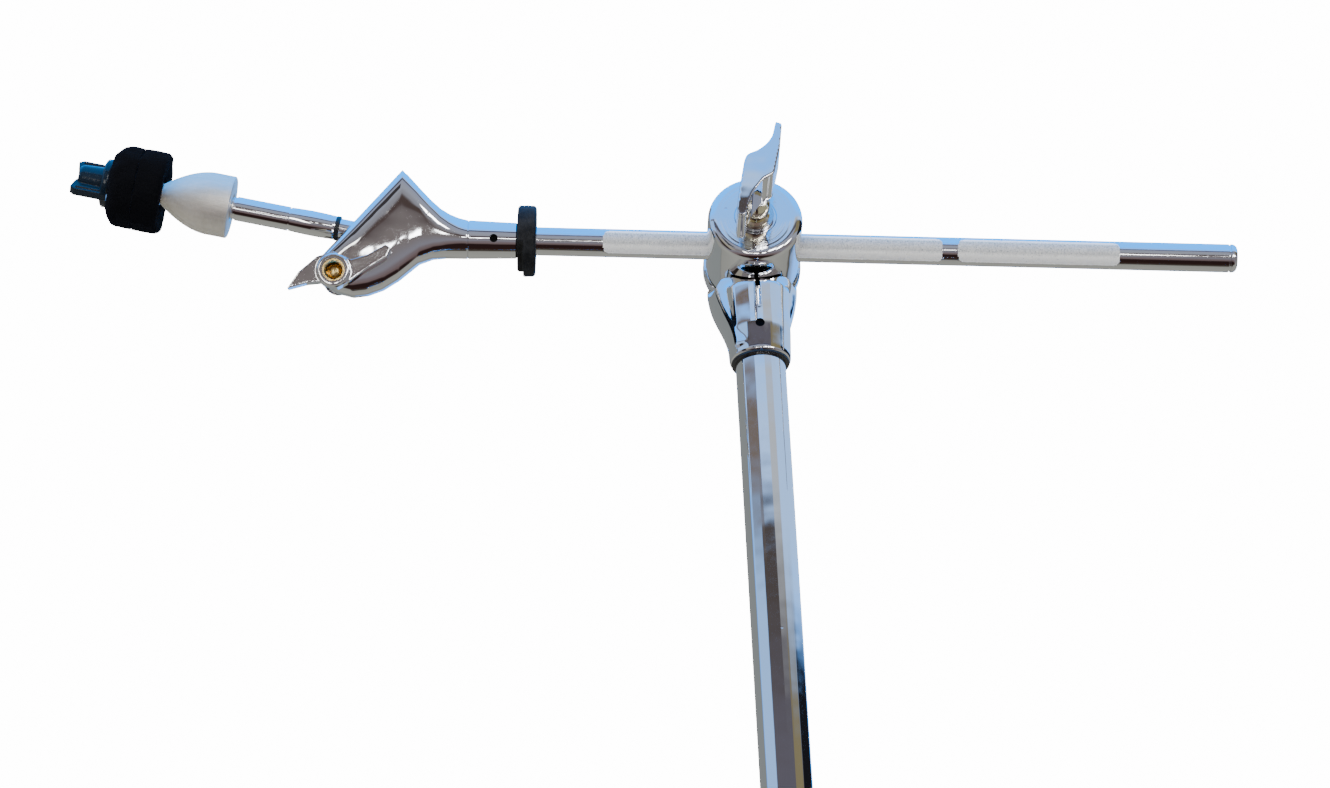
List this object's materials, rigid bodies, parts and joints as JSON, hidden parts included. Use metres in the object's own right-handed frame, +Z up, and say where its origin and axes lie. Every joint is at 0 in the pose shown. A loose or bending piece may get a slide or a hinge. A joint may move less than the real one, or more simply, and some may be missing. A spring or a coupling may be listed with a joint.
{
  "type": "cymbal boom stand",
  "caption": "Floor stand whose telescoping tubes carry a tilting boom arm with a knuckle joint, felts and wing nut to hold a cymbal.",
  "frame": {"origin": "on the floor, on the axis of the telescoping tubes", "axes": "+Z up along the tubes; the boom lies in the XZ plane with its cymbal end towards -X; the drum's wing nut faces -Y"},
  "size_m": [0.5345, 0.5556, 1.1509],
  "materials": {
    "chrome": "mirror-bright chrome plate on steel tube and cast parts",
    "rod_chrome": "chrome-plated solid rod, bright with fine-knurled frosted bands",
    "bright_steel": "zinc-plated steel hardware",
    "seat_aluminium": "coarsely brushed aluminium",
    "rubber": "black moulded rubber",
    "nylon": "black nylon",
    "felt": "dense black wool felt",
    "nut_plastic": "glossy black moulded plastic"
  },
  "bodies": {
    "base": {"base_tube": "chrome", "base_plug": "rubber", "leg_collar": "chrome", "leg_rivets": "bright_steel", "lower_clamp": "chrome", "lower_bush": "nylon"},
    "leg_1": {"leg_1": "chrome", "foot_1": "rubber"},
    "leg_2": {"leg_2": "chrome", "foot_2": "rubber"},
    "leg_3": {"leg_3": "chrome", "foot_3": "rubber"},
    "leg_runner": {"leg_runner": "chrome", "brace_rivets": "bright_steel"},
    "brace_1": {"brace_1": "chrome"},
    "brace_2": {"brace_2": "chrome"},
    "brace_3": {"brace_3": "chrome"},
    "runner_wing_bolt": {"runner_wing_bolt": "chrome"},
    "lower_wing_bolt": {"lower_wing_bolt": "chrome"},
    "middle_guide": {"middle_guide": "nylon"},
    "middle_tube": {"middle_tube": "chrome", "upper_clamp": "chrome", "upper_bush": "nylon"},
    "upper_wing_bolt": {"upper_wing_bolt": "chrome"},
    "top_guide": {"top_guide": "nylon"},
    "top_tube": {"top_tube": "chrome", "boom_clamp_body": "chrome", "clamp_set_screw": "bright_steel", "tube_ring": "nylon"},
    "tilt_drum": {"tilt_drum": "chrome", "drum_gasket": "rubber", "pivot_bolt": "bright_steel", "drum_washer": "bright_steel"},
    "boom_wing_nut": {"boom_wing_nut": "chrome"},
    "stop_ring": {"stop_ring": "rubber"},
    "boom": {"boom_rod": "rod_chrome", "knuckle_body": "chrome", "knuckle_set_screw": "bright_steel", "knuckle_pin": "bright_steel", "knuckle_bolt": "bright_steel"},
    "knuckle_wing_nut": {"knuckle_wing_nut": "chrome"},
    "cymbal_post": {"cymbal_post": "chrome", "post_ring": "nylon", "post_sleeve": "chrome", "cymbal_seat": "seat_aluminium", "nylon_sleeve": "nylon", "lower_felt": "felt", "upper_felt": "felt"},
    "cymbal_nut": {"cymbal_nut": "nut_plastic"}
  },
  "joints": [
    {"name": "middle_tube_slide", "type": "slide", "parent": "base", "child": "middle_guide", "axis": [0, 0, 1], "range_m": [-0.06, 0.26]},
    {"name": "middle_tube_swivel", "type": "hinge", "parent": "middle_guide", "child": "middle_tube", "pos_m": [0, 0, 0.6], "axis": [0, 0, 1], "continuous": true},
    {"name": "top_tube_slide", "type": "slide", "parent": "middle_tube", "child": "top_guide", "axis": [0, 0, 1], "range_m": [-0.26, 0.18]},
    {"name": "top_tube_swivel", "type": "hinge", "parent": "top_guide", "child": "top_tube", "pos_m": [0, 0, 0.8], "axis": [0, 0, 1], "continuous": true},
    {"name": "boom_tilt", "type": "hinge", "parent": "top_tube", "child": "tilt_drum", "pos_m": [0, 0, 1.1], "axis": [0, 1, 0], "range_deg": [-40, 34]},
    {"name": "boom_slide", "type": "slide", "parent": "tilt_drum", "child": "stop_ring", "axis": [0.9982, 0, -0.0593], "range_m": [-0.18, 0.07]},
    {"name": "boom_roll", "type": "hinge", "parent": "stop_ring", "child": "boom", "pos_m": [0, 0, 1.1], "axis": [0.9982, 0, -0.0593], "continuous": true},
    {"name": "post_swing", "type": "hinge", "parent": "boom", "child": "cymbal_post", "pos_m": [-0.16391, 0, 1.10974], "axis": [0.0241, 0.9135, 0.406], "range_deg": [-30, 75]},
    {"name": "boom_wing_nut_spin", "type": "hinge", "parent": "tilt_drum", "child": "boom_wing_nut", "pos_m": [0, 0, 1.1], "axis": [0, 1, 0], "continuous": true},
    {"name": "knuckle_wing_nut_spin", "type": "hinge", "parent": "boom", "child": "knuckle_wing_nut", "pos_m": [-0.18575, 0.00732, 1.09456], "axis": [0.0241, 0.9135, 0.406], "continuous": true},
    {"name": "cymbal_nut_spin", "type": "hinge", "parent": "cymbal_post", "child": "cymbal_nut", "pos_m": [-0.16391, 0, 1.10974], "axis": [-0.9748, -0.0685, 0.2121], "continuous": true},
    {"name": "lower_wing_bolt_spin", "type": "hinge", "parent": "base", "child": "lower_wing_bolt", "pos_m": [0.0255, 0, 0.526], "axis": [0, 1, 0], "continuous": true},
    {"name": "upper_wing_bolt_spin", "type": "hinge", "parent": "middle_tube", "child": "upper_wing_bolt", "pos_m": [0.0239, 0, 0.721], "axis": [0, 1, 0], "continuous": true},
    {"name": "leg_1_fold", "type": "hinge", "parent": "base", "child": "leg_1", "pos_m": [-0.029, 0, 0.33], "axis": [0, -1, 0], "range_deg": [0, 37]},
    {"name": "leg_2_fold", "type": "hinge", "parent": "base", "child": "leg_2", "pos_m": [0.0145, 0.02511, 0.33], "axis": [-0.866, 0.5, 0], "range_deg": [0, 37]},
    {"name": "leg_3_fold", "type": "hinge", "parent": "base", "child": "leg_3", "pos_m": [0.0145, -0.02511, 0.33], "axis": [0.866, 0.5, 0], "range_deg": [0, 37]},
    {"name": "runner_slide", "type": "slide", "parent": "base", "child": "leg_runner", "axis": [0, 0, -1], "range_m": [0, 0.0757]},
    {"name": "brace_1_fold", "type": "hinge", "parent": "leg_runner", "child": "brace_1", "pos_m": [-0.029, 0, 0.09498], "axis": [0, -1, 0], "range_deg": [-37, 0]},
    {"name": "brace_2_fold", "type": "hinge", "parent": "leg_runner", "child": "brace_2", "pos_m": [0.0145, 0.02511, 0.09498], "axis": [-0.866, 0.5, 0], "range_deg": [-37, 0]},
    {"name": "brace_3_fold", "type": "hinge", "parent": "leg_runner", "child": "brace_3", "pos_m": [0.0145, -0.02511, 0.09498], "axis": [0.866, 0.5, 0], "range_deg": [-37, 0]},
    {"name": "runner_wing_bolt_spin", "type": "hinge", "parent": "leg_runner", "child": "runner_wing_bolt", "pos_m": [0.041, 0, 0.09498], "axis": [0, 1, 0], "continuous": true}
  ],
  "couplings": [
    {"joint": "leg_2_fold", "follows": "leg_1_fold", "ratio": 1},
    {"joint": "leg_3_fold", "follows": "leg_1_fold", "ratio": 1},
    {"joint": "runner_slide", "follows": "leg_1_fold", "m_per_rad": 0.11711},
    {"joint": "brace_1_fold", "follows": "leg_1_fold", "ratio": -1},
    {"joint": "brace_2_fold", "follows": "leg_1_fold", "ratio": -1},
    {"joint": "brace_3_fold", "follows": "leg_1_fold", "ratio": -1}
  ]
}
